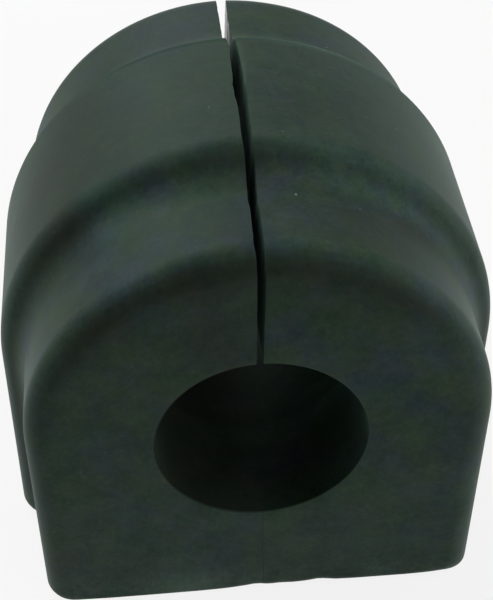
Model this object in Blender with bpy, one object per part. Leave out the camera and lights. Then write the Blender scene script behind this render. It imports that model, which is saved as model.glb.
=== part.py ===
"""Sway bar bushing: one piece of moulded rubber, split over its bore so that it can be opened on to the bar.

Metres, +Z up. The bore runs along Y, the front face looks along -Y, the flat base lies on Z = 0 under the
middle of the part, and the split is at the top. All sizes that can be set by themselves come first.
"""

from math import acos, cos, pi, radians, sin, sqrt

import bmesh
import bpy

# The bore for the bar, and its height above the base
BORE_DIAMETER = 0.0250
BORE_HEIGHT = 0.0279

# The block: two collars, and between them a body that stands out from them on the arch and on both sides
LENGTH = 0.0562
COLLAR_RADIUS = 0.0277
COLLAR_LENGTH = 0.0110
BODY_STEP = 0.0031

# The blend from a collar up to the body: a hollow foot, a round shoulder, and a straight slope if the step needs it
BLEND_FOOT_RADIUS = 0.0060
BLEND_SHOULDER_RADIUS = 0.0038
BLEND_STEEPEST = radians(50)

# Rounded edges
RIM_RADIUS = 0.0033
BASE_EDGE_RADIUS = 0.0010
CORNER_RADIUS = 0.0020
SIDE_DRAFT = 0.0003

# The knife cut above the bore, wider at the top and a little to the left of the middle
SPLIT_TOP_WIDTH = 0.0012
SPLIT_BORE_WIDTH = 0.0008
SPLIT_OFFSET = -0.0002

# Fineness of the rounded shapes
ARCH_STEPS = 48
BORE_STEPS = 64
RIM_STEPS = 6
BLEND_STEPS = 5
CORNER_STEPS = 4

RUBBER_COLOUR = (0.045, 0.052, 0.049, 1.0)
RUBBER_ROUGHNESS = 0.55

# Worked out from the sizes above
FRONT = -LENGTH / 2
BODY_RADIUS = COLLAR_RADIUS + BODY_STEP


def clear_scene():
    for thing in list(bpy.data.objects):
        bpy.data.objects.remove(thing, do_unlink=True)


def new_collection(name):
    collection = bpy.data.collections.new(name)
    bpy.context.scene.collection.children.link(collection)
    return collection


def rubber():
    material = bpy.data.materials.new("moulded_rubber")
    material.use_nodes = True
    shader = material.node_tree.nodes["Principled BSDF"]
    shader.inputs["Base Color"].default_value = RUBBER_COLOUR
    shader.inputs["Roughness"].default_value = RUBBER_ROUGHNESS
    shader.inputs["Metallic"].default_value = 0.0
    return material


def quarter_inset(depth, radius):
    """How far a rounded edge of that radius lies inside the sharp one, at a depth behind the end face."""
    if depth >= radius:
        return 0.0
    return radius - sqrt(radius ** 2 - (radius - depth) ** 2)


def blend_stations():
    """Run and rise from the collar to the body: along the foot's hollow arc, then the shoulder's round one."""
    both = BLEND_FOOT_RADIUS + BLEND_SHOULDER_RADIUS
    steepest = BLEND_STEEPEST
    if BODY_STEP < both * (1 - cos(steepest)):
        steepest = acos(1 - BODY_STEP / both)
    slope_rise = BODY_STEP - both * (1 - cos(steepest))
    run = both * sin(steepest) + slope_rise * cos(steepest) / sin(steepest)
    foot = []
    shoulder = []
    for i in range(BLEND_STEPS + 1):
        angle = steepest * i / BLEND_STEPS
        across, up = sin(angle), 1 - cos(angle)
        foot.append((BLEND_FOOT_RADIUS * across, BLEND_FOOT_RADIUS * up))
        shoulder.append((run - BLEND_SHOULDER_RADIUS * across, BODY_STEP - BLEND_SHOULDER_RADIUS * up))
    shoulder.reverse()
    touching = slope_rise < 1e-6
    return foot + (shoulder[1:] if touching else shoulder)


def end_stations():
    """Depth behind the end face, radius of the arch and inset of the base, from an end face to the body."""
    depths = {RIM_RADIUS * (1 - cos(pi / 2 * i / RIM_STEPS)) for i in range(RIM_STEPS + 1)}
    depths |= {BASE_EDGE_RADIUS * (1 - cos(pi / 4)), BASE_EDGE_RADIUS}
    stations = []
    for depth in sorted(depths):
        radius = COLLAR_RADIUS - quarter_inset(depth, RIM_RADIUS)
        stations.append((depth, radius, quarter_inset(depth, BASE_EDGE_RADIUS)))
    for run, rise in blend_stations():
        stations.append((COLLAR_LENGTH + run, COLLAR_RADIUS + rise, 0.0))
    return stations


def all_stations():
    """Both ends are alike, so the back's stations are the front's in reverse."""
    stations = end_stations()
    front = [(FRONT + depth, radius, inset) for depth, radius, inset in stations]
    back = [(-FRONT - depth, radius, inset) for depth, radius, inset in reversed(stations)]
    return front + back


def arched_section(y, radius, inset):
    """Closed outline of the bushing across the bore: round arch, straight sides, flat base with round corners."""
    points = []
    for i in range(ARCH_STEPS + 1):
        angle = pi * i / ARCH_STEPS
        points.append((radius * cos(angle), y, BORE_HEIGHT + radius * sin(angle)))
    foot = radius - SIDE_DRAFT - CORNER_RADIUS
    level = inset + CORNER_RADIUS
    for i in range(CORNER_STEPS + 1):
        angle = pi / 2 * i / CORNER_STEPS
        points.append((-foot - CORNER_RADIUS * cos(angle), y, level - CORNER_RADIUS * sin(angle)))
    for i in range(CORNER_STEPS + 1):
        angle = pi / 2 * i / CORNER_STEPS
        points.append((foot + CORNER_RADIUS * sin(angle), y, level - CORNER_RADIUS * cos(angle)))
    return points


def moulded_block():
    """The whole outside as one loft through all the sections, closed by its two end faces."""
    shape = bmesh.new()
    rings = [[shape.verts.new(point) for point in arched_section(*station)] for station in all_stations()]
    count = len(rings[0])
    for near, far in zip(rings, rings[1:]):
        for i in range(count):
            j = (i + 1) % count
            shape.faces.new((near[i], near[j], far[j], far[i]))
    shape.faces.new(rings[0])
    shape.faces.new(rings[-1])
    bmesh.ops.recalc_face_normals(shape, faces=shape.faces)
    for face in shape.faces:
        face.smooth = True
    mesh = bpy.data.meshes.new("bushing_body")
    shape.to_mesh(mesh)
    shape.free()
    return bpy.data.objects.new("bushing_body", mesh)


def bore_cutter():
    shape = bmesh.new()
    bmesh.ops.create_cone(
        shape,
        cap_ends=True,
        segments=BORE_STEPS,
        radius1=BORE_DIAMETER / 2,
        radius2=BORE_DIAMETER / 2,
        depth=2 * LENGTH,
    )
    for face in shape.faces:
        face.smooth = len(face.verts) == 4
    mesh = bpy.data.meshes.new("bore_cutter")
    shape.to_mesh(mesh)
    shape.free()
    cutter = bpy.data.objects.new("bore_cutter", mesh)
    cutter.rotation_euler = (pi / 2, 0.0, 0.0)
    cutter.location.z = BORE_HEIGHT
    return cutter


def split_cutter():
    """A wedge that stands on the bore's axis and reaches past the top of the arch."""
    crown = BORE_HEIGHT + BORE_DIAMETER / 2
    top = BORE_HEIGHT + BODY_RADIUS
    flare = (SPLIT_TOP_WIDTH - SPLIT_BORE_WIDTH) / (top - crown)
    beyond = top + BODY_STEP
    shape = bmesh.new()
    bmesh.ops.create_cube(shape, size=1.0)
    for vert in shape.verts:
        height = BORE_HEIGHT if vert.co.z < 0 else beyond
        width = SPLIT_BORE_WIDTH + flare * (height - crown)
        vert.co = (vert.co.x * width, vert.co.y * 2 * LENGTH, height)
    mesh = bpy.data.meshes.new("split_cutter")
    shape.to_mesh(mesh)
    shape.free()
    cutter = bpy.data.objects.new("split_cutter", mesh)
    cutter.location.x = SPLIT_OFFSET
    return cutter


def cut(body, cutter):
    modifier = body.modifiers.new(cutter.name, "BOOLEAN")
    modifier.operation = "DIFFERENCE"
    modifier.solver = "EXACT"
    modifier.object = cutter


def hide_cutter(cutter):
    cutter.hide_render = True
    cutter.display_type = "WIRE"


def main():
    clear_scene()
    parts = new_collection("sway_bar_bushing")
    cutters = new_collection("cutters")

    body = moulded_block()
    body.data.materials.append(rubber())
    parts.objects.link(body)

    for cutter in (bore_cutter(), split_cutter()):
        cutters.objects.link(cutter)
        hide_cutter(cutter)
        cut(body, cutter)
    shading = body.modifiers.new("flat_faces_stay_flat", "WEIGHTED_NORMAL")
    shading.keep_sharp = True


main()
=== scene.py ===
"""Looks of the sway bar bushing: moulded dark rubber, knife-cut over the bore, on a pale floor in soft light.

Metres, +Z up. The bore runs along Y, and the front face looks along -Y.
"""

from math import acos, atan2, cos, pi, radians, sin, sqrt

import bmesh
import bpy
import numpy as np
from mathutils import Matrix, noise


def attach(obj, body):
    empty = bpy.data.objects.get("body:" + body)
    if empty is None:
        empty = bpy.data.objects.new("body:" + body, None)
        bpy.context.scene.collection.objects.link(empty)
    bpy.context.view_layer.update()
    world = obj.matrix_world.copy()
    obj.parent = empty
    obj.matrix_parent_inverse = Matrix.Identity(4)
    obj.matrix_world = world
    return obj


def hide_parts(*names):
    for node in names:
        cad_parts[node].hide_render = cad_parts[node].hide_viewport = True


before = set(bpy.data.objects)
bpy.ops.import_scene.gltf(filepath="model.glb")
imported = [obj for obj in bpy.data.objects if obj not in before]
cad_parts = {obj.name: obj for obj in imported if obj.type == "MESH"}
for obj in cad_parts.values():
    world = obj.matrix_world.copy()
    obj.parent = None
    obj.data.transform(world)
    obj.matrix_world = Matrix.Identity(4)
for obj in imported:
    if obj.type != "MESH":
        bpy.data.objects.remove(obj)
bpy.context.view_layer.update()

MM = 0.001

# Sizes of the moulded block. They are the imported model's, apart from the worn foot and the tighter corners
LENGTH = 56.2 * MM
BORE_RADIUS = 12.5 * MM
BORE_HEIGHT = 27.9 * MM
COLLAR_RADIUS = 27.7 * MM
COLLAR_LENGTH = 11.0 * MM
BODY_STEP = 3.1 * MM
BLEND_FOOT_RADIUS = 6.0 * MM
BLEND_SHOULDER_RADIUS = 3.8 * MM
RIM_RADIUS = 3.3 * MM
BASE_EDGE_RADIUS = 1.0 * MM
# The worn front edge of the base: place across the block, and radius of the edge there, in mm
FRONT_BASE_EDGE = (
    (-27.0, 0.55), (-25.5, 0.75), (-23.7, 0.88), (-19.7, 0.72), (-14.4, 0.76), (-7.7, 0.9), (-4.5, 1.1),
    (-2.9, 1.35), (-1.3, 1.7), (-0.5, 1.95), (0.3, 1.75), (1.1, 1.5), (2.7, 1.65), (4.3, 1.5), (5.9, 1.65),
    (7.5, 2.05), (8.3, 1.95), (9.9, 1.5), (12.3, 1.37), (18.9, 1.37), (21.0, 1.47), (22.7, 1.65), (24.3, 2.0),
    (25.9, 1.6),
)
CORNER_RADIUS = 1.6 * MM
SIDE_DRAFT = 0.3 * MM
BORE_EDGE_RADIUS = 0.15 * MM
# From this depth on the arch leans to the right and its right half sinks, less so close to the cut and low down
LEAN = 0.08 * MM
SINK = 0.08 * MM
LEAN_START = 12.0 * MM
LEAN_RUN = 26.0 * MM
LEAN_BESIDE_CUT = 6.0 * MM
LEAN_RISE = 2.5

# The knife cut's two lips on top of the block: distance behind the front face, and place across it, in mm
LEFT_LIP = (
    (0.0, -0.77), (1.4, -0.76), (2.7, -0.91), (5.3, -0.80), (8.6, -0.70), (9.6, -0.82), (10.4, -0.82),
    (11.4, -0.74), (14.7, -0.69), (16.3, -0.70), (17.7, -0.84), (20.2, -0.77), (23.5, -0.70), (26.2, -0.89),
    (28.1, -0.88), (28.5, -1.02), (28.9, -0.88), (31.4, -0.74), (34.6, -0.75), (36.8, -0.63), (38.3, -0.74),
    (39.5, -0.89), (45.4, -0.93), (49.4, -0.94), (53.4, -1.00), (56.2, -1.00),
)
RIGHT_LIP = (
    (0.0, 0.23), (2.0, 0.22), (2.5, 0.31), (3.0, 0.23), (4.2, 0.25), (7.5, 0.30), (9.3, 0.27), (9.7, 0.17),
    (10.2, 0.30), (13.1, 0.40), (15.1, 0.49), (16.6, 0.37), (20.1, 0.42), (23.4, 0.46), (25.2, 0.54), (28.2, 0.63),
    (31.5, 0.84), (36.2, 0.98), (38.4, 0.95), (41.5, 0.62), (44.0, 0.24), (50.0, 0.18), (53.2, 0.24), (56.2, 0.42),
)
# How far the cut's faces lie beside their lips, lower down: depth below the lips, then places across, in mm
CUT_DEPTHS = (0.0, 0.18, 0.5, 7.0, 15.2)
LEFT_FACE = (
    (0.0, (0.0, 0.0, 0.0, 0.0, -0.01)), (28.0, (0.0, 0.01, 0.02, 0.05, 0.1)), (56.2, (0.0, 0.02, 0.05, 0.3, 0.6)),
)
RIGHT_FACE = (
    (0.0, (0.0, -0.01, -0.02, -0.12, -0.23)), (16.0, (0.0, -0.06, -0.10, -0.3, -0.45)),
    (25.0, (0.0, -0.11, -0.15, -0.35, -0.5)), (31.0, (0.0, -0.29, -0.35, -0.45, -0.6)),
    (34.5, (0.0, -0.42, -0.48, -0.5, -0.5)), (38.0, (0.0, -0.7, -0.74, -0.7, -0.6)),
    (41.5, (0.0, -0.38, -0.42, -0.42, -0.35)), (44.0, (0.0, -0.02, -0.03, -0.1, -0.1)),
    (56.2, (0.0, -0.02, -0.03, -0.25, -0.2)),
)
# The knife's waver along the lips, in mm, with its slow and quick turns per mm, and the unevenness of the faces
LIP_WAVER = 0.05
SLOW_WAVER = 0.9
QUICK_WAVER = 2.1
FACE_UNEVENNESS = 0.04 * MM

# Fineness of the mesh
RIM_STEPS = 14
BLEND_STEPS = 10
SPACING_ALONG = 0.45 * MM
ARCH_STEPS = 64
SIDE_STEPS = 22
BASE_STEPS = 58
CORNER_STEPS = 8
# From the bore's wall outwards, closer together towards the outside
CUT_SHARES = np.concatenate((np.linspace(0.0, 0.8, 13), (0.86, 0.91, 0.945, 0.967, 0.98, 0.99, 1.0)))
# Along the arch beside the cut: the first of the fine steps, as a share of the arch, and how fast they widen
FINE_STEPS = 14
FIRST_FINE_STEP = 0.0035
FINE_STEP_GROWTH = 1.16
SHARP_EDGE = radians(40)


def steepest_slope():
    return acos(1 - BODY_STEP / (BLEND_FOOT_RADIUS + BLEND_SHOULDER_RADIUS))


def quarter_inset(depth, radius):
    """How far a rounded edge of that radius lies inside the sharp one, at a depth behind the end face."""
    if depth >= radius:
        return 0.0
    return radius - sqrt(radius ** 2 - (radius - depth) ** 2)


def arch_radius(depth):
    """Radius of the arch at a depth behind the nearer end face: rim, collar, hollow foot, shoulder, body."""
    if depth <= COLLAR_LENGTH:
        return COLLAR_RADIUS - quarter_inset(depth, RIM_RADIUS)
    foot_run = BLEND_FOOT_RADIUS * sin(steepest_slope())
    shoulder_run = BLEND_SHOULDER_RADIUS * sin(steepest_slope())
    up = depth - COLLAR_LENGTH
    left = foot_run + shoulder_run - up
    if left <= 0:
        return COLLAR_RADIUS + BODY_STEP
    if up <= foot_run:
        return COLLAR_RADIUS + BLEND_FOOT_RADIUS - sqrt(BLEND_FOOT_RADIUS ** 2 - up ** 2)
    return COLLAR_RADIUS + BODY_STEP - BLEND_SHOULDER_RADIUS + sqrt(BLEND_SHOULDER_RADIUS ** 2 - left ** 2)


def depths_along():
    """Depths of all the sections behind the front face, closer together where the surface turns."""
    rim = [RIM_RADIUS * (1 - cos(pi / 2 * i / RIM_STEPS)) for i in range(RIM_STEPS)]
    count = round((COLLAR_LENGTH - RIM_RADIUS) / SPACING_ALONG)
    collar = list(np.linspace(RIM_RADIUS, COLLAR_LENGTH, count + 1))[:-1]
    foot = [COLLAR_LENGTH + BLEND_FOOT_RADIUS * sin(steepest_slope() * i / BLEND_STEPS) for i in range(BLEND_STEPS)]
    crest = COLLAR_LENGTH + (BLEND_FOOT_RADIUS + BLEND_SHOULDER_RADIUS) * sin(steepest_slope())
    turns = [steepest_slope() * (1 - i / BLEND_STEPS) for i in range(BLEND_STEPS)]
    shoulder = [crest - BLEND_SHOULDER_RADIUS * sin(turn) for turn in turns]
    end = rim + collar + foot + shoulder
    count = round((LENGTH - 2 * crest) / SPACING_ALONG)
    body = list(np.linspace(crest, LENGTH - crest, count + 1))
    return end + body + [LENGTH - depth for depth in reversed(end)]


def lip(table, depth):
    """Place across the block of one lip of the cut, with the small waver of the knife."""
    along = depth / MM
    place = np.interp(along, *zip(*table))
    side = table[0][1]
    slow = noise.noise((along * SLOW_WAVER, side * 10, 0.0))
    waver = slow + 0.5 * noise.noise((along * QUICK_WAVER, side * 7, 4.0))
    return (place + LIP_WAVER * waver) * MM


def beside_lip(table, depth, below):
    """How far across from its lip a face of the cut lies, at a distance below the lip."""
    rows = [np.interp(below / MM, CUT_DEPTHS, places) for _, places in table]
    return np.interp(depth / MM, [along for along, _ in table], rows) * MM


def cut_bottom(lip_table, face_table, depth):
    """Place across the block where a face of the cut comes out in the bore."""
    below = arch_radius(min(depth, LENGTH - depth)) - BORE_RADIUS
    return lip(lip_table, depth) + beside_lip(face_table, depth, below)


def outline_shares():
    """Where the points of a section lie: on which stretch of the outline, and how far along it."""
    fine = np.cumsum(FIRST_FINE_STEP * FINE_STEP_GROWTH ** np.arange(FINE_STEPS))
    rest = np.linspace(fine[-1], 1.0, ARCH_STEPS - len(fine) + 1)[1:]
    arch = np.concatenate(([0.0], fine, rest))
    shares = [("right_arch", share) for share in arch]
    shares += [("right_side", i / SIDE_STEPS) for i in range(1, SIDE_STEPS + 1)]
    shares += [("right_corner", i / CORNER_STEPS) for i in range(1, CORNER_STEPS + 1)]
    shares += [("base", i / BASE_STEPS) for i in range(1, BASE_STEPS + 1)]
    shares += [("left_corner", i / CORNER_STEPS) for i in range(1, CORNER_STEPS + 1)]
    shares += [("left_side", i / SIDE_STEPS) for i in range(1, SIDE_STEPS + 1)]
    shares += [("left_arch", 1 - share) for share in arch[-2::-1]]
    return shares


def base_inset(depth, across):
    """How far the rounded end of the base lies above the floor; the front edge is worn unevenly."""
    if depth > LENGTH / 2:
        return quarter_inset(LENGTH - depth, BASE_EDGE_RADIUS)
    return quarter_inset(depth, np.interp(across / MM, *zip(*FRONT_BASE_EDGE)) * MM)


def arch_point(angle, radius, depth):
    """Point of the arch. Towards the back it leans a little to the right, and its right half has sunk a little."""
    x, rise = radius * cos(angle), radius * sin(angle)
    share = min(1.0, max(0.0, (depth - LEAN_START) / LEAN_RUN)) * min(1.0, abs(x) / LEAN_BESIDE_CUT)
    sink = SINK * share * rise / radius if x > 0 else 0.0
    return x + LEAN * share * min(1.0, LEAN_RISE * rise / radius), BORE_HEIGHT + rise - sink


def outer_point(stretch, share, depth):
    """Point of the block's outside, across the bore."""
    end = min(depth, LENGTH - depth)
    radius = arch_radius(end)
    draft = SIDE_DRAFT
    if stretch.startswith("left"):
        draft = SIDE_DRAFT * min(1.0, (COLLAR_RADIUS + BODY_STEP - radius) / BODY_STEP)
    foot = radius - draft - CORNER_RADIUS
    level = base_inset(depth, foot if stretch.startswith("right") else -foot) + CORNER_RADIUS
    if stretch == "right_arch":
        return arch_point(acos(lip(RIGHT_LIP, depth) / radius) * (1 - share), radius, depth)
    if stretch == "left_arch":
        start = acos(lip(LEFT_LIP, depth) / radius)
        return arch_point(pi + (start - pi) * share, radius, depth)
    if stretch == "base":
        return foot * (1 - 2 * share), base_inset(depth, foot * (1 - 2 * share))
    side = 1 if stretch.startswith("right") else -1
    if stretch.endswith("side"):
        down = share if side > 0 else 1 - share
        return side * (radius - draft * down), BORE_HEIGHT + (level - BORE_HEIGHT) * down
    turn = (share if side > 0 else 1 - share) * pi / 2
    return side * (foot + CORNER_RADIUS * cos(turn)), level - CORNER_RADIUS * sin(turn)


def bore_point(stretch, share, depth, outer):
    """Point of the bore's wall that a point of the outside is joined to."""
    radius = BORE_RADIUS + quarter_inset(min(depth, LENGTH - depth), BORE_EDGE_RADIUS)
    if stretch == "right_arch":
        angle = acos(cut_bottom(RIGHT_LIP, RIGHT_FACE, depth) / radius) * (1 - share)
    elif stretch == "left_arch":
        angle = pi + (acos(cut_bottom(LEFT_LIP, LEFT_FACE, depth) / radius) - pi) * share
    else:
        angle = atan2(outer[1] - BORE_HEIGHT, outer[0])
    return radius * cos(angle), BORE_HEIGHT + radius * sin(angle)


def cut_face(right, depth, below):
    """Place across the block of the cut's right or left face, which the knife left a little uneven."""
    lip_table, face_table = (RIGHT_LIP, RIGHT_FACE) if right else (LEFT_LIP, LEFT_FACE)
    uneven = FACE_UNEVENNESS * noise.noise((depth / MM * 1.1, below / MM * 0.7, 5.0 if right else 0.0))
    return lip(lip_table, depth) + beside_lip(face_table, depth, below) + uneven * min(1.0, below / MM)


def bushing_mesh():
    """The block as one curved grid: round the bore, from the bore's wall outwards, and along the bore."""
    shares = outline_shares()
    depths = depths_along()
    outer = np.array([[outer_point(*share, depth) for share in shares] for depth in depths])
    inner = np.array([
        [bore_point(*share, depth, point) for share, point in zip(shares, row)] for depth, row in zip(depths, outer)
    ])
    rows, around, through = len(depths), len(shares), len(CUT_SHARES) - 1
    grid = {}
    points = []
    for j in range(rows):
        for i in range(around):
            for k in range(through + 1):
                on_end = j in (0, rows - 1)
                if not (on_end or i in (0, around - 1) or k in (0, through)):
                    continue
                x, z = inner[j, i] + (outer[j, i] - inner[j, i]) * CUT_SHARES[k]
                if i in (0, around - 1) and 0 < k < through:
                    x = cut_face(i == 0, depths[j], outer[j, i][1] - z)
                grid[i, j, k] = len(points)
                points.append((x, depths[j] - LENGTH / 2, z))
    faces = []

    def quad(*corners):
        faces.append([grid[corner] for corner in corners])

    for j in range(rows - 1):
        for i in range(around - 1):
            quad((i, j, through), (i, j + 1, through), (i + 1, j + 1, through), (i + 1, j, through))
            quad((i, j, 0), (i + 1, j, 0), (i + 1, j + 1, 0), (i, j + 1, 0))
        for k in range(through):
            quad((0, j, k), (0, j + 1, k), (0, j + 1, k + 1), (0, j, k + 1))
            last = around - 1
            quad((last, j, k), (last, j, k + 1), (last, j + 1, k + 1), (last, j + 1, k))
    for i in range(around - 1):
        for k in range(through):
            quad((i, 0, k), (i, 0, k + 1), (i + 1, 0, k + 1), (i + 1, 0, k))
            last = rows - 1
            quad((i, last, k), (i + 1, last, k), (i + 1, last, k + 1), (i, last, k + 1))
    mesh = bpy.data.meshes.new("moulded_bushing")
    mesh.from_pydata(points, [], faces)
    mesh.validate()
    shape = bmesh.new()
    shape.from_mesh(mesh)
    bmesh.ops.recalc_face_normals(shape, faces=shape.faces)
    for face in shape.faces:
        face.smooth = True
    for edge in shape.edges:
        edge.smooth = edge.calc_face_angle(0.0) < SHARP_EDGE
    shape.to_mesh(mesh)
    shape.free()
    return mesh


class Socket:
    """A node's output that can stand in a Python expression. Each operator adds a Math node."""

    def __init__(self, output):
        self.output = output
        self.tree = output.id_data

    def math(self, operation, *values):
        return add_node(self.tree, "ShaderNodeMath", {"operation": operation}, dict(enumerate(values)))

    def root(self):
        return self.math("SQRT", self)

    def size(self):
        return self.math("ABSOLUTE", self)

    def other(self, name):
        """Another output of the same node."""
        return Socket(self.output.node.outputs[name])

    def __add__(self, other):
        return self.math("ADD", self, other)

    def __radd__(self, other):
        return self.math("ADD", other, self)

    def __sub__(self, other):
        return self.math("SUBTRACT", self, other)

    def __rsub__(self, other):
        return self.math("SUBTRACT", other, self)

    def __mul__(self, other):
        return self.math("MULTIPLY", self, other)

    def __rmul__(self, other):
        return self.math("MULTIPLY", other, self)


def add_node(tree, kind, settings=None, values=None, output=0):
    """Any node: its type, its settings, and the values or links of its sockets. Gives one of its outputs, if any."""
    node = tree.nodes.new(kind)
    for name, setting in (settings or {}).items():
        if name == "stops":
            set_stops(node.color_ramp, setting)
        else:
            setattr(node, name, setting)
    for name, value in (values or {}).items():
        socket = node.inputs[name]
        if isinstance(value, Socket):
            tree.links.new(value.output, socket)
        else:
            socket.default_value = value
    return Socket(node.outputs[output]) if len(node.outputs) else None


def set_stops(ramp, stops):
    """Places along a ramp, and the level of grey at each of them."""
    ramp.interpolation = "EASE"
    ramp.elements[0].position = stops[0][0]
    ramp.elements[1].position = stops[-1][0]
    for place, _ in stops[1:-1]:
        ramp.elements.new(place)
    for element, (_, level) in zip(ramp.elements, stops):
        element.color = (level, level, level, 1.0)


def fade(value, start, end):
    """Rises smoothly from 0 where the value is at the start to 1 where it is at the end."""
    values = {"Value": value, "From Min": start, "From Max": end}
    return add_node(value.tree, "ShaderNodeMapRange", {"interpolation_type": "SMOOTHSTEP"}, values)


def fade_mm(value, start, end):
    """The same for a length, with its start and end in mm."""
    return fade(value, start * MM, end * MM)


def levels(value, low, high, stops):
    """A level for each value between low and high, read from a ramp of (value, level) stops."""
    share = (value - low) * (1 / (high - low))
    shares = [((at - low) / (high - low), level) for at, level in stops]
    return add_node(value.tree, "ShaderNodeValToRGB", {"stops": shares}, {"Fac": share})


def blend(share, first, second):
    values = {"Factor": share, "A": first, "B": second}
    return add_node(share.tree, "ShaderNodeMix", {"data_type": "RGBA"}, values, output="Result")


def grain(place, scale, detail, roughness=0.5):
    values = {"Vector": place, "Scale": scale, "Detail": detail, "Roughness": roughness}
    return add_node(place.tree, "ShaderNodeTexNoise", {}, values)


def new_material(name):
    material = bpy.data.materials.new(name)
    material.use_nodes = True
    material.node_tree.nodes.clear()
    return material, material.node_tree


# Colours of the rubber: greenish and blue-grey patches, the body between the two blends, the colour of the painted
# shade in its darkest places, the dust and painted floor bounce near the floor, the grains that lie on it, and the
# tint of the faint sheen
GREEN_PATCH = (0.0260, 0.0442, 0.0266, 1.0)
BLUE_PATCH = (0.0267, 0.0402, 0.0406, 1.0)
BODY_GREEN = (0.0232, 0.0430, 0.0306, 1.0)
PAINTED_SHADE_COLOUR = (0.0320, 0.0412, 0.0295, 1.0)
DUST_AND_BOUNCE_COLOUR = (0.0480, 0.0720, 0.0560, 1.0)
SPECK_COLOUR = (0.20, 0.23, 0.22, 1.0)
SHEEN_COLOUR = (0.55, 1.0, 0.85, 1.0)
# Fineness of the patches, the mottle, the fine grain, its flecks and its pits, per metre, and the height of the grain
PATCH_SCALE = 150.0
MOTTLE_SCALE = 130.0
FINE_SCALE = 2600.0
FLECK_SCALE = 1200.0
PIT_SCALE = 1000.0
GRAIN_HEIGHT = 0.012 * MM
# Grains of dust that catch the light: place across, along from the middle and up, and radius, in mm
SPECKS = (
    (4.6, -16.9, 55.3, 0.16), (12.8, 17.9, 52.5, 0.10), (-4.0, -3.7, 58.5, 0.10), (18.75, -1.3, 52.4, 0.09),
    (14.7, -2.3, 55.0, 0.08), (3.9, -9.3, 58.5, 0.08), (11.8, -17.3, 53.0, 0.08),
)
# Soft patches that make the rubber lighter or darker, partly painted light and shade: the same places, radius in mm,
# and change of tone
PATCHES = (
    (-13.9, -23.0, 51.9, 11.0, 0.30), (13.9, -18.5, 51.9, 11.0, -0.28), (-23.0, -3.0, 48.5, 17.0, -0.30),
    (-16.5, -13.8, 52.0, 6.5, 0.42), (-27.0, -18.0, 36.0, 13.0, 0.20), (27.0, -20.0, 36.0, 12.0, 0.20),
    (12.0, -3.0, 56.0, 14.0, -0.10), (-9.7, -28.1, 0.5, 8.0, 0.60), (20.5, -28.1, 41.5, 9.0, 0.30),
    (-5.2, -28.1, 44.0, 8.0, -0.28), (-8.0, -27.7, 52.5, 6.0, -0.22), (-17.8, -26.7, 48.3, 6.0, -0.18),
    (-21.0, -11.7, 49.9, 6.0, -0.22), (-19.6, 7.9, 51.7, 9.0, -0.15), (12.5, -28.1, 33.3, 6.0, 0.20),
    (20.2, -14.3, 47.9, 6.0, -0.20), (3.4, -13.3, 56.8, 4.0, 0.18), (-9.2, -28.1, 6.0, 6.0, 0.25),
)
# Painted shade across the front rim, with a line of painted light on the collar behind it: mm inwards on the end
# face, or below 0 backwards on the collar, and level
RIM_TONE = ((-4.2, 1.0), (-2.3, 1.22), (-1.1, 1.05), (0.2, 0.70), (1.4, 0.56), (3.3, 0.75), (6.0, 0.94), (9.0, 1.0))
RIM_TONE_SPAN = (-5.0, 10.0)
RIM_STRENGTH_LOW_DOWN = 0.15
# Painted light and shade over the blend up to the body: mm behind an end face, and level, where the plain one is the
# rubber's own
RISER_TONE = ((9.5, 0.70), (12.0, 0.86), (13.5, 0.92), (15.4, 0.62), (16.3, 0.68), (17.2, 0.74), (18.5, 0.70))
RISER_TONE_SPAN = (8.0, 20.0)
RISER_PLAIN = 0.70
# How much paler the blend is on the right, and how much darker on the flanks
RIGHT_PALER = 0.6
FLANK_DARKENING = 0.2
# Painted shade in the bore: tone of its wall on its left, and how much it rises to the right
BORE_SHADE_LEFT = 0.315
BORE_SHADE_RISE = 1.05
# How much the mottle, the fine grain, the flecks and the pits change the tone
MOTTLE_CONTRAST = 1.5
FINE_CONTRAST = 0.2
FLECK_CONTRAST = 0.14
PIT_CONTRAST = 0.12
# How strongly the mottle's own colours show, and the level that keeps the rubber's colour on the whole
MOTTLE_TINT = (0.9, 0.9, 0.9)
MOTTLE_TINT_BASE = (0.55, 0.55, 0.55)
BODY_GREEN_SHARE = 0.5
# Dust and painted light bounced from the floor: the haze on the lower half, and the even, the local and the mottled
# part of what lies along the foot, with the place across where the local part is thickest
HAZE_AND_BOUNCE = 0.33
FOOT_DUST_AND_BOUNCE = 0.10
FOOT_DUST_AND_BOUNCE_LEFT = 0.60
FOOT_DUST_AND_BOUNCE_MOTTLED = 0.4
FOOT_DUST_AND_BOUNCE_PLACE = -9.5 * MM
# Roughness of the rubber, how much the mottle changes it, and how much rougher the crest at the back is
ROUGHNESS = 0.45
MOTTLED_ROUGHNESS = 0.3
CREST_ROUGHNESS = 0.35
# How much the cut's far faces mirror, and how dark the mould seam is
CUT_GLINT = 0.6
SEAM_DARKNESS = 0.15
# Where masks of the texture fade in: levels of the noise, or of how squarely a face looks across
PATCH_LEVELS = (0.35, 0.65)
FLECK_LEVELS = (0.72, 0.80)
PIT_LEVELS = (0.28, 0.20)
DUST_AND_BOUNCE_LEVELS = (0.45, 0.6)
SEAM_LEVELS = (0.46, 0.54)
PAINTED_SHADE_LEVELS = (1.05, 0.5)
CUT_FACING = (0.35, 0.6)
# Where masks of place fade in, in mm. By height:
RIM_HEIGHTS = (30.0, 52.0)
HAZE_AND_BOUNCE_HEIGHTS = (36.0, 4.0)
FOOT_HEIGHTS = (6.0, 0.8)
SEAM_HEIGHTS = (15.6, 15.2)
# by depth behind the nearer end face:
BODY_START = (14.0, 17.0)
RIGHT_PALER_START = (11.5, 14.5)
RIGHT_PALER_END = (18.5, 16.8)
FLANK_START = (8.5, 11.5)
FLANK_END = (16.0, 14.5)
CREST_START = (12.5, 15.0)
CREST_END = (18.2, 17.2)
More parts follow.
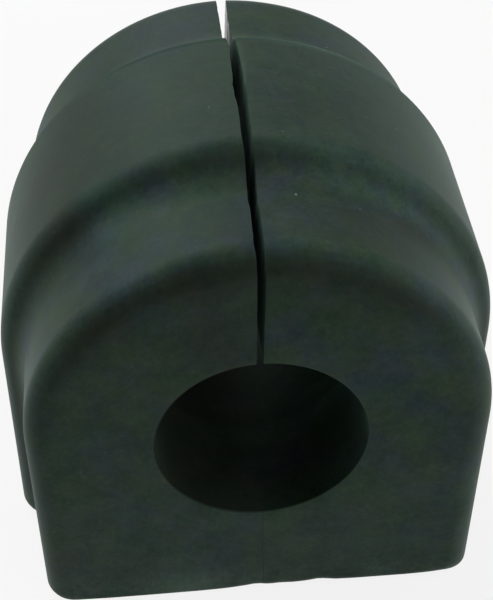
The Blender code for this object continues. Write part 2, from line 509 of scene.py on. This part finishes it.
# by place across, or distance from the middle or from the seam:
RIGHT_PALER_LEFT_EDGE = (3.0, 11.0)
RIGHT_PALER_RIGHT_EDGE = (30.0, 18.0)
FLANK_DISTANCE = (13.0, 18.0)
BORE_SIDES = (-13.0, 13.0)
FOOT_DUST_AND_BOUNCE_SPREAD = (13.0, 4.0)
SEAM_WIDTH = (0.14, 0.05)
CUT_WIDTH = (2.2, 2.0)
# by place along, from the middle to the back:
FRONT_HALF = (5.0, -5.0)
BACK_HALF = (0.0, 5.0)
FRONT_FACE = (-28.0, -28.05)
CUT_FAR_END = (15.5, 18.5)
# and by distance from the bore's axis:
BORE_EDGE = (BORE_RADIUS / MM + 0.26, BORE_RADIUS / MM + 0.12)
# The mould seam's place across, at two heights
SEAM_BEND = {"From Min": 8.0 * MM, "From Max": 1.2 * MM, "To Min": 0.12 * MM, "To Max": 0.42 * MM}


class SurfacePlace:
    """Where a point of the bushing's surface lies, for the masks of its rubber, in metres."""

    def __init__(self, tree):
        self.point = add_node(tree, "ShaderNodeTexCoord", output="Object")
        self.across = add_node(tree, "ShaderNodeSeparateXYZ", {}, {0: self.point})
        self.along, self.up = self.across.other("Y"), self.across.other("Z")
        self.facing_across = add_node(tree, "ShaderNodeSeparateXYZ", {}, {0: self.point.other("Normal")})
        above = self.up - BORE_HEIGHT
        self.from_bore = (self.across * self.across + above * above).root()
        raised = above.math("MAXIMUM", above, 0.0)
        self.reach = (self.across * self.across + raised * raised).root()
        self.depth = LENGTH / 2 - self.along.size()
        self.in_bore = fade_mm(self.from_bore, *BORE_EDGE)

    def distance_to(self, x, y, z):
        """Distance to a point that is given in mm."""
        values = {0: self.point, 1: (x * MM, y * MM, z * MM)}
        return add_node(self.point.tree, "ShaderNodeVectorMath", {"operation": "DISTANCE"}, values, output="Value")


def painted_rim_shade(at):
    """Painted shade in a band just inside the front rim and painted light in a line behind it, both stronger higher
    up and only on the front half.
    """
    inward = (COLLAR_RADIUS - at.reach - at.depth) * (1 / MM)
    tone = levels(inward, *RIM_TONE_SPAN, RIM_TONE)
    strength = RIM_STRENGTH_LOW_DOWN + (1 - RIM_STRENGTH_LOW_DOWN) * fade_mm(at.up, *RIM_HEIGHTS)
    return 1 - (1 - tone) * strength * fade_mm(at.along, *FRONT_HALF)


def painted_riser_light_and_shade(at):
    """Painted light on the hollow foot of the blend up to the body, and a line of painted shade on its slope."""
    return levels(at.depth * (1 / MM), *RISER_TONE_SPAN, RISER_TONE) * (1 / RISER_PLAIN)


def lighter_and_darker_places(at):
    """Change of tone: paler on the blend to the right, darker on the flanks, and soft patches that are partly painted
    light and shade.
    """
    right = fade_mm(at.across, *RIGHT_PALER_LEFT_EDGE) * fade_mm(at.across, *RIGHT_PALER_RIGHT_EDGE)
    right = right * fade_mm(at.depth, *RIGHT_PALER_START) * fade_mm(at.depth, *RIGHT_PALER_END)
    flank = fade_mm(at.depth, *FLANK_START) * fade_mm(at.depth, *FLANK_END)
    flank = flank * fade_mm(at.across.size(), *FLANK_DISTANCE)
    change = RIGHT_PALER * right - FLANK_DARKENING * flank
    for x, y, z, radius, strength in PATCHES:
        change = change + strength * fade_mm(at.distance_to(x, y, z), radius, 0.0)
    return change


def painted_bore_shade(at):
    """Painted shade on the bore's wall, darker on the left. Outside the bore it is plain."""
    wall = BORE_SHADE_LEFT + BORE_SHADE_RISE * fade_mm(at.across, *BORE_SIDES)
    return 1 - at.in_bore * (1 - wall)


def dust_and_painted_bounce(at, mottle):
    """Pale dust and painted light bounced from the floor: a haze on the lower half, and more along the foot, most of
    it to the left of the middle.
    """
    left = fade_mm((at.across - FOOT_DUST_AND_BOUNCE_PLACE).size(), *FOOT_DUST_AND_BOUNCE_SPREAD)
    foot = FOOT_DUST_AND_BOUNCE + FOOT_DUST_AND_BOUNCE_LEFT * left + FOOT_DUST_AND_BOUNCE_MOTTLED * fade(mottle, *DUST_AND_BOUNCE_LEVELS)
    haze_and_bounce = HAZE_AND_BOUNCE * fade_mm(at.up, *HAZE_AND_BOUNCE_HEIGHTS)
    return (haze_and_bounce + fade_mm(at.up, *FOOT_HEIGHTS) * foot) * (1 - at.in_bore)


def dust_grains(at):
    """The few single grains of dust on top."""
    grains = 0.0
    for x, y, z, radius in SPECKS:
        grains = grains + fade_mm(at.distance_to(x, y, z), radius * 1.5, radius * 0.5)
    return grains


def mould_seam(at, mottle):
    """The fine line on the front face from the bore down to the foot, where it turns a little to the right."""
    place = add_node(at.up.tree, "ShaderNodeMapRange", {}, {"Value": at.up, **SEAM_BEND})
    line = fade_mm((at.across - place).size(), *SEAM_WIDTH)
    under_bore = fade_mm(at.up, *SEAM_HEIGHTS) * fade_mm(at.along, *FRONT_FACE)
    return line * under_bore * (0.5 + fade(mottle, *SEAM_LEVELS))


def cut_glint(at):
    """Where the cut's far faces are smooth enough to mirror the pale surroundings."""
    in_cut = fade(at.facing_across.size(), *CUT_FACING) * fade_mm(at.across.size(), *CUT_WIDTH)
    return CUT_GLINT * in_cut * fade_mm(at.along, *CUT_FAR_END)


def rubber_colour(at, patches, mottle, tone, shade):
    """Colour of the rubber: its patches, the greener body, a warmer colour where shade is painted, dust with painted
    floor bounce, mottle, and tone.
    """
    tree = at.point.tree
    colour = blend(patches, GREEN_PATCH, BLUE_PATCH)
    colour = blend(BODY_GREEN_SHARE * fade_mm(at.depth, *BODY_START), colour, BODY_GREEN)
    # Where the painted shade is deepest the rubber takes a warmer dark colour
    colour = blend(fade(tone, *PAINTED_SHADE_LEVELS), colour, PAINTED_SHADE_COLOUR)
    # Dust near the floor, with painted light bounced from the floor
    colour = blend(dust_and_painted_bounce(at, mottle), colour, DUST_AND_BOUNCE_COLOUR)
    tint = {0: mottle.other("Color"), 1: MOTTLE_TINT, 2: MOTTLE_TINT_BASE}
    tint = add_node(tree, "ShaderNodeVectorMath", {"operation": "MULTIPLY_ADD"}, tint)
    colour = add_node(tree, "ShaderNodeVectorMath", {"operation": "MULTIPLY"}, {0: colour, 1: tint})
    return add_node(tree, "ShaderNodeVectorMath", {"operation": "SCALE"}, {0: colour, "Scale": shade})


def moulded_rubber():
    """Dark green rubber with a faint sheen: mottled, with painted shade on its rounded rims, blends and bore, and
    paler near the floor from dust and painted floor bounce.
    """
    material, tree = new_material("dark_green_rubber")
    at = SurfacePlace(tree)
    patches = fade(grain(at.point, PATCH_SCALE, 3.0, 0.7), *PATCH_LEVELS)
    mottle = grain(at.point, MOTTLE_SCALE, 6.0, 0.9)
    fine = grain(at.point, FINE_SCALE, 2.0, 0.6)
    flecks = fade(grain(at.point, FLECK_SCALE, 0.0), *FLECK_LEVELS)
    pits = fade(grain(at.point, PIT_SCALE, 0.0), *PIT_LEVELS)
    seam = mould_seam(at, mottle)
    grains = dust_grains(at)

    # Tone: painted shade on the rims, blends and bore, painted light on the blends' feet, and soft patches that are
    # partly painted light and shade
    tone = painted_rim_shade(at) * painted_riser_light_and_shade(at) * (1 + lighter_and_darker_places(at)) * painted_bore_shade(at)
    shade = tone * (1 + MOTTLE_CONTRAST * (mottle - 0.5)) * (1 + FINE_CONTRAST * (fine - 0.5))
    shade = shade * (1 + FLECK_CONTRAST * flecks - PIT_CONTRAST * pits) * (1 - SEAM_DARKNESS * seam)
    colour = rubber_colour(at, patches, mottle, tone, shade)
    crest = fade_mm(at.along, *BACK_HALF) * fade_mm(at.depth, *CREST_START) * fade_mm(at.depth, *CREST_END)
    height = 0.7 * fine + 2.0 * grains - seam + 0.5 * flecks - 0.5 * pits
    bump = {"Strength": 1.0, "Distance": GRAIN_HEIGHT, "Height": height}
    add_surface(tree, {
        "Base Color": blend(grains, colour, SPECK_COLOUR),
        "Roughness": ROUGHNESS + MOTTLED_ROUGHNESS * (mottle - 0.5) + CREST_ROUGHNESS * crest,
        "Normal": add_node(tree, "ShaderNodeBump", {}, bump),
        "Coat Weight": cut_glint(at),
        "Coat Roughness": 0.15,
        "Specular IOR Level": 0.05,
        "Specular Tint": SHEEN_COLOUR,
        "Sheen Weight": 0.05,
        "Sheen Roughness": 0.4,
        "Sheen Tint": SHEEN_COLOUR,
    })
    return material


def add_surface(tree, values):
    shader = add_node(tree, "ShaderNodeBsdfPrincipled", {}, values)
    add_node(tree, "ShaderNodeOutputMaterial", {}, {"Surface": shader})


def build_bushing():
    bushing = bpy.data.objects.new("moulded_bushing", bushing_mesh())
    bpy.context.scene.collection.objects.link(bushing)
    bushing.data.materials.append(moulded_rubber())
    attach(bushing, "root")
    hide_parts("bushing_body")


def seen_directly(tree):
    """1 for rays that show the surroundings as they are: from the camera, in reflections and through glass."""
    path = tree.nodes.new("ShaderNodeLightPath")
    seen = Socket(path.outputs["Is Camera Ray"])
    seen = seen.math("MAXIMUM", seen, Socket(path.outputs["Is Glossy Ray"]))
    return seen.math("MAXIMUM", seen, Socket(path.outputs["Is Transmission Ray"]))


FLOOR_HALF = 3.0
FLOOR_COLOUR = (0.80, 0.80, 0.80, 1.0)
FLOOR_WHITE = 0.85


def build_floor():
    shape = bmesh.new()
    bmesh.ops.create_grid(shape, x_segments=1, y_segments=1, size=FLOOR_HALF)
    mesh = bpy.data.meshes.new("floor")
    shape.to_mesh(mesh)
    shape.free()
    floor = bpy.data.objects.new("floor", mesh)
    bpy.context.scene.collection.objects.link(floor)
    material, tree = new_material("pale_floor")
    pale = add_node(tree, "ShaderNodeBsdfDiffuse", {}, {"Color": FLOOR_COLOUR})
    white = add_node(tree, "ShaderNodeEmission", {}, {"Color": (1.0, 1.0, 1.0, 1.0), "Strength": 1.0})
    shown = add_node(tree, "ShaderNodeMixShader", {}, {0: seen_directly(tree) * FLOOR_WHITE, 1: pale, 2: white})
    add_node(tree, "ShaderNodeOutputMaterial", {}, {"Surface": shown})
    mesh.materials.append(material)


def build_world():
    """White where it is seen, and no light from anywhere but the lamps."""
    world = bpy.data.worlds.new("studio")
    world.use_nodes = True
    tree = world.node_tree
    tree.nodes.clear()
    white = {"Color": (1.0, 1.0, 1.0, 1.0), "Strength": seen_directly(tree)}
    background = add_node(tree, "ShaderNodeBackground", {}, white)
    add_node(tree, "ShaderNodeOutputWorld", {}, {"Surface": background})
    bpy.context.scene.world = world


# Soft lamps: name, direction round the object and above the floor in degrees, and power
LAMPS = (
    ("back_left_softbox", -135, 45, 1.60),
    ("back_softbox", -165, 38, 1.05),
    ("left_softbox", -110, 30, 1.00),
    ("right_softbox", 90, 45, 0.45),
    ("right_low_softbox", 90, 15, 1.15),
    ("front_right_softbox", 45, 15, 1.05),
    ("front_softbox", 0, 15, 0.28),
)
LAMP_DISTANCE = 0.60
LAMP_SIZE = 0.40


def build_lamps():
    for name, around, above, power in LAMPS:
        light = bpy.data.lights.new(name, "AREA")
        light.shape = "SQUARE"
        light.size = LAMP_SIZE
        light.energy = power
        lamp = bpy.data.objects.new(name, light)
        bpy.context.scene.collection.objects.link(lamp)
        lamp.rotation_euler = (radians(90 - above), 0.0, radians(around))
        across = LAMP_DISTANCE * cos(radians(above))
        lamp.location = (
            across * sin(radians(around)),
            -across * cos(radians(around)),
            BORE_HEIGHT + LAMP_DISTANCE * sin(radians(above)),
        )


# The photograph's camera
CAMERA_PLACE = (-0.012391, -0.140525, 0.149321)
CAMERA_TURN = (48.6839, -0.0843, -5.2605)
CAMERA_LENS = 84.885
SENSOR_WIDTH = 36.0
NEAREST_SEEN = 0.01


def build_camera():
    data = bpy.data.cameras.new("camera")
    data.sensor_width = SENSOR_WIDTH
    data.lens = CAMERA_LENS
    data.clip_start = NEAREST_SEEN
    camera = bpy.data.objects.new("camera", data)
    bpy.context.scene.collection.objects.link(camera)
    camera.location = CAMERA_PLACE
    camera.rotation_euler = [radians(angle) for angle in CAMERA_TURN]
    bpy.context.scene.camera = camera


build_bushing()
build_floor()
build_world()
build_lamps()
build_camera()
bpy.context.scene.view_settings.view_transform = "Standard"
